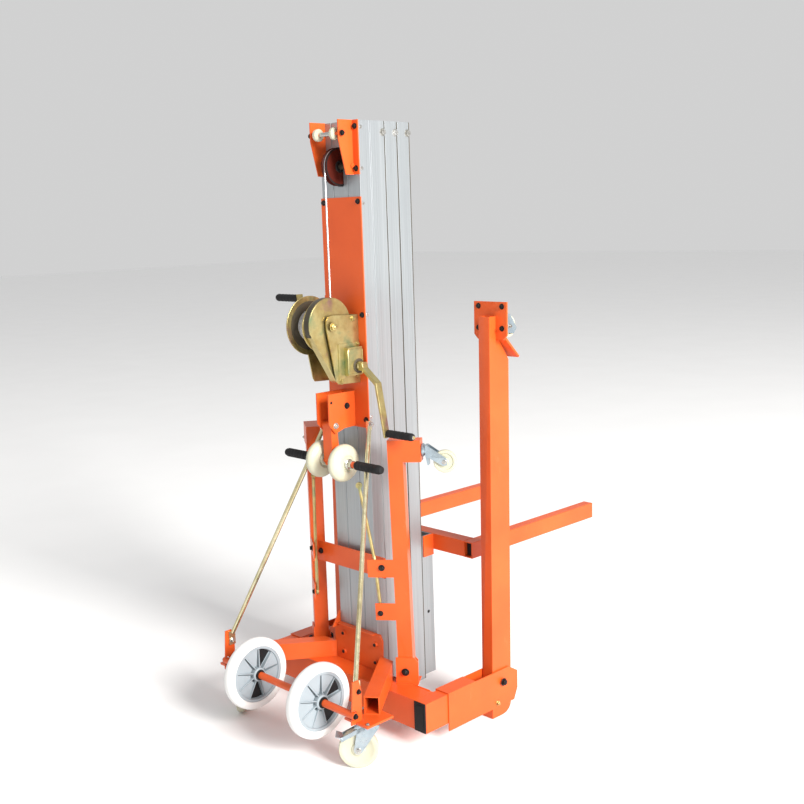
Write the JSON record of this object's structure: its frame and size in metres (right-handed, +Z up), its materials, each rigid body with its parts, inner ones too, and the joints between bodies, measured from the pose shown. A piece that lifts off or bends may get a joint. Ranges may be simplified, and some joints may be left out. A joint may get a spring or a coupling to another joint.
{
  "type": "material lift",
  "caption": "Hand-winch material lift with telescoping aluminium mast, forks, folding legs, stabilizers and transport wheels, shown folded for transport.",
  "frame": {"origin": "centre of the bounding box footprint at floor level", "axes": "+Z up along the mast, +Y forwards along the forks, +X to the right seen from the winch side"},
  "size_m": [0.896, 1.434, 2.011],
  "materials": {
    "orange_paint": "semi-gloss powder coat",
    "mast_aluminium": "mill finish with fine length-wise lines",
    "gold_zinc": "yellow zinc plating",
    "blue_zinc": "clear zinc plating",
    "wire_rope": "stranded, lightly oiled",
    "black_rubber": "matt",
    "cream_plastic": "satin",
    "white_tyre": "matt solid tyre",
    "grey_hub": "satin moulded",
    "maroon_plastic": "satin"
  },
  "bodies": {
    "base": {"cross_tube": "orange_paint", "side_rail_right": "orange_paint", "side_rail_left": "orange_paint", "leg_bracket_right": "orange_paint", "leg_bracket_left": "orange_paint", "rear_arm_right": "orange_paint", "rear_arm_left": "orange_paint", "hub_plate": "orange_paint", "storage_bar": "orange_paint", "transport_axle": "orange_paint", "brace_rod_right": "gold_zinc", "brace_rod_left": "gold_zinc", "base_column": "mast_aluminium", "cover_plate": "orange_paint", "pulley_bracket": "orange_paint", "hoist_rope": "wire_rope", "winch_frame": "gold_zinc", "winch_gear_cover": "gold_zinc", "loading_bracket": "orange_paint"},
    "mast_2": {"mast_section_2": "mast_aluminium"},
    "mast_3": {"mast_section_3": "mast_aluminium"},
    "carriage": {"carriage_column": "mast_aluminium", "fork_crossbar": "orange_paint", "fork_right": "orange_paint", "fork_left": "orange_paint"},
    "pulley": {"rope_pulley": "maroon_plastic"},
    "drum": {"winch_drum": "gold_zinc"},
    "crank": {"crank": "gold_zinc"},
    "loading_yoke": {"loading_yoke": "orange_paint", "loading_grip_right": "black_rubber", "loading_grip_left": "black_rubber"},
    "top_roller_right": {"top_roller_right": "cream_plastic"},
    "crank_grip_right": {"crank_grip_right": "black_rubber"},
    "loading_wheel_right": {"loading_wheel_right": "cream_plastic"},
    "transport_wheel_right": {"transport_tyre_right": "white_tyre", "transport_hub_right": "grey_hub"},
    "rear_caster_right": {"rear_caster_fork_right": "blue_zinc"},
    "rear_wheel_right": {"rear_caster_wheel_right": "cream_plastic"},
    "leg_right": {"leg_right": "orange_paint"},
    "leg_caster_right": {"leg_caster_fork_right": "blue_zinc"},
    "leg_wheel_right": {"leg_caster_wheel_right": "cream_plastic"},
    "stabilizer_right": {"stabilizer_right": "orange_paint"},
    "stabilizer_caster_right": {"stabilizer_caster_fork_right": "blue_zinc"},
    "stabilizer_wheel_right": {"stabilizer_caster_wheel_right": "cream_plastic"},
    "stabilizer_rod_right": {"stabilizer_rod_right": "gold_zinc"},
    "top_roller_left": {"top_roller_left": "cream_plastic"},
    "crank_grip_left": {"crank_grip_left": "black_rubber"},
    "loading_wheel_left": {"loading_wheel_left": "cream_plastic"},
    "transport_wheel_left": {"transport_tyre_left": "white_tyre", "transport_hub_left": "grey_hub"},
    "rear_caster_left": {"rear_caster_fork_left": "blue_zinc"},
    "rear_wheel_left": {"rear_caster_wheel_left": "cream_plastic"},
    "leg_left": {"leg_left": "orange_paint"},
    "leg_caster_left": {"leg_caster_fork_left": "blue_zinc"},
    "leg_wheel_left": {"leg_caster_wheel_left": "cream_plastic"},
    "stabilizer_left": {"stabilizer_left": "orange_paint"},
    "stabilizer_caster_left": {"stabilizer_caster_fork_left": "blue_zinc"},
    "stabilizer_wheel_left": {"stabilizer_caster_wheel_left": "cream_plastic"},
    "stabilizer_rod_left": {"stabilizer_rod_left": "gold_zinc"}
  },
  "joints": [
    {"name": "lift_section_2", "type": "slide", "parent": "base", "child": "mast_2", "axis": [0, 0, 1], "range_m": [0, 1.3]},
    {"name": "lift_section_3", "type": "slide", "parent": "mast_2", "child": "mast_3", "axis": [0, 0, 1], "range_m": [0, 1.3]},
    {"name": "lift_carriage", "type": "slide", "parent": "mast_3", "child": "carriage", "axis": [0, 0, 1], "range_m": [0, 1.3]},
    {"name": "pulley_spin", "type": "hinge", "parent": "base", "child": "pulley", "pos_m": [0, -0.274, 1.868], "axis": [1, 0, 0], "continuous": true},
    {"name": "drum_spin", "type": "hinge", "parent": "base", "child": "drum", "pos_m": [0, -0.382, 1.36], "axis": [1, 0, 0], "continuous": true},
    {"name": "crank_turn", "type": "hinge", "parent": "base", "child": "crank", "pos_m": [0, -0.292, 1.226], "axis": [1, 0, 0], "continuous": true},
    {"name": "loading_yoke_swing", "type": "hinge", "parent": "base", "child": "loading_yoke", "pos_m": [0, -0.357, 1.029], "axis": [1, 0, 0], "range_deg": [-100, 0]},
    {"name": "top_roller_spin_right", "type": "hinge", "parent": "base", "child": "top_roller_right", "pos_m": [0.04, -0.318, 1.969], "axis": [1, 0, 0], "continuous": true},
    {"name": "crank_grip_spin_right", "type": "hinge", "parent": "crank", "child": "crank_grip_right", "pos_m": [0.268, -0.292, 1.014], "axis": [1, 0, 0], "continuous": true},
    {"name": "loading_wheel_spin_right", "type": "hinge", "parent": "loading_yoke", "child": "loading_wheel_right", "pos_m": [0.056, -0.352, 0.907], "axis": [1, 0, 0], "continuous": true},
    {"name": "transport_wheel_spin_right", "type": "hinge", "parent": "base", "child": "transport_wheel_right", "pos_m": [0.164, -0.594, 0.191], "axis": [1, 0, 0], "continuous": true},
    {"name": "rear_caster_swivel_right", "type": "hinge", "parent": "base", "child": "rear_caster_right", "pos_m": [0.331, -0.53, 0.159], "axis": [0, 0, 1], "continuous": true},
    {"name": "rear_wheel_spin_right", "type": "hinge", "parent": "rear_caster_right", "child": "rear_wheel_right", "pos_m": [0.30554, -0.55546, 0.063], "axis": [-0.7071, 0.7071, 0], "continuous": true},
    {"name": "leg_fold_right", "type": "hinge", "parent": "base", "child": "leg_right", "pos_m": [0.378, 0.019, 0.124], "axis": [1, 0, 0], "range_deg": [-90, 0]},
    {"name": "leg_caster_swivel_right", "type": "hinge", "parent": "leg_right", "child": "leg_caster_right", "pos_m": [0.378, 0.03256, 1.36894], "axis": [0, 0.9999, -0.0157], "continuous": true},
    {"name": "leg_wheel_spin_right", "type": "hinge", "parent": "leg_caster_right", "child": "leg_wheel_right", "pos_m": [0.378, 0.10501, 1.3338], "axis": [1, 0, 0], "continuous": true},
    {"name": "stabilizer_fold_right", "type": "hinge", "parent": "base", "child": "stabilizer_right", "pos_m": [0.221, -0.25, 0.206], "axis": [-0.5736, 0.8191, 0], "range_deg": [0, 91.6]},
    {"name": "stabilizer_caster_swivel_right", "type": "hinge", "parent": "stabilizer_right", "child": "stabilizer_caster_right", "pos_m": [0.2791, -0.20931, 0.95535], "axis": [0.819, 0.5735, 0.0174], "continuous": true},
    {"name": "stabilizer_wheel_spin_right", "type": "hinge", "parent": "stabilizer_caster_right", "child": "stabilizer_wheel_right", "pos_m": [0.34148, -0.16564, 0.91868], "axis": [-0.5736, 0.8191, 0], "continuous": true},
    {"name": "stabilizer_rod_swing_right", "type": "hinge", "parent": "stabilizer_right", "child": "stabilizer_rod_right", "pos_m": [0.16421, -0.30746, 0.40464], "axis": [-0.5736, 0.8191, 0], "range_deg": [-15, 0]},
    {"name": "top_roller_spin_left", "type": "hinge", "parent": "base", "child": "top_roller_left", "pos_m": [-0.04, -0.318, 1.969], "axis": [1, 0, 0], "continuous": true},
    {"name": "crank_grip_spin_left", "type": "hinge", "parent": "crank", "child": "crank_grip_left", "pos_m": [-0.268, -0.292, 1.438], "axis": [1, 0, 0], "continuous": true},
    {"name": "loading_wheel_spin_left", "type": "hinge", "parent": "loading_yoke", "child": "loading_wheel_left", "pos_m": [-0.056, -0.352, 0.907], "axis": [1, 0, 0], "continuous": true},
    {"name": "transport_wheel_spin_left", "type": "hinge", "parent": "base", "child": "transport_wheel_left", "pos_m": [-0.164, -0.594, 0.191], "axis": [1, 0, 0], "continuous": true},
    {"name": "rear_caster_swivel_left", "type": "hinge", "parent": "base", "child": "rear_caster_left", "pos_m": [-0.331, -0.53, 0.159], "axis": [0, 0, 1], "continuous": true},
    {"name": "rear_wheel_spin_left", "type": "hinge", "parent": "rear_caster_left", "child": "rear_wheel_left", "pos_m": [-0.30554, -0.55546, 0.063], "axis": [0.7071, 0.7071, 0], "continuous": true},
    {"name": "leg_fold_left", "type": "hinge", "parent": "base", "child": "leg_left", "pos_m": [-0.378, 0.019, 0.124], "axis": [1, 0, 0], "range_deg": [-90, 0]},
    {"name": "leg_caster_swivel_left", "type": "hinge", "parent": "leg_left", "child": "leg_caster_left", "pos_m": [-0.378, 0.03256, 1.36894], "axis": [0, 0.9999, -0.0157], "continuous": true},
    {"name": "leg_wheel_spin_left", "type": "hinge", "parent": "leg_caster_left", "child": "leg_wheel_left", "pos_m": [-0.378, 0.10501, 1.3338], "axis": [1, 0, 0], "continuous": true},
    {"name": "stabilizer_fold_left", "type": "hinge", "parent": "base", "child": "stabilizer_left", "pos_m": [-0.221, -0.25, 0.206], "axis": [-0.5736, -0.8191, 0], "range_deg": [0, 91.6]},
    {"name": "stabilizer_caster_swivel_left", "type": "hinge", "parent": "stabilizer_left", "child": "stabilizer_caster_left", "pos_m": [-0.2791, -0.20931, 0.95535], "axis": [-0.819, 0.5735, 0.0174], "continuous": true},
    {"name": "stabilizer_wheel_spin_left", "type": "hinge", "parent": "stabilizer_caster_left", "child": "stabilizer_wheel_left", "pos_m": [-0.34148, -0.16564, 0.91868], "axis": [-0.5736, -0.8191, 0], "continuous": true},
    {"name": "stabilizer_rod_swing_left", "type": "hinge", "parent": "stabilizer_left", "child": "stabilizer_rod_left", "pos_m": [-0.16421, -0.30746, 0.40464], "axis": [-0.5736, -0.8191, 0], "range_deg": [-15, 0]}
  ],
  "couplings": [
    {"joint": "lift_section_3", "follows": "lift_section_2", "ratio": 1},
    {"joint": "lift_carriage", "follows": "lift_section_2", "ratio": 1},
    {"joint": "crank_turn", "follows": "drum_spin", "ratio": -4}
  ]
}
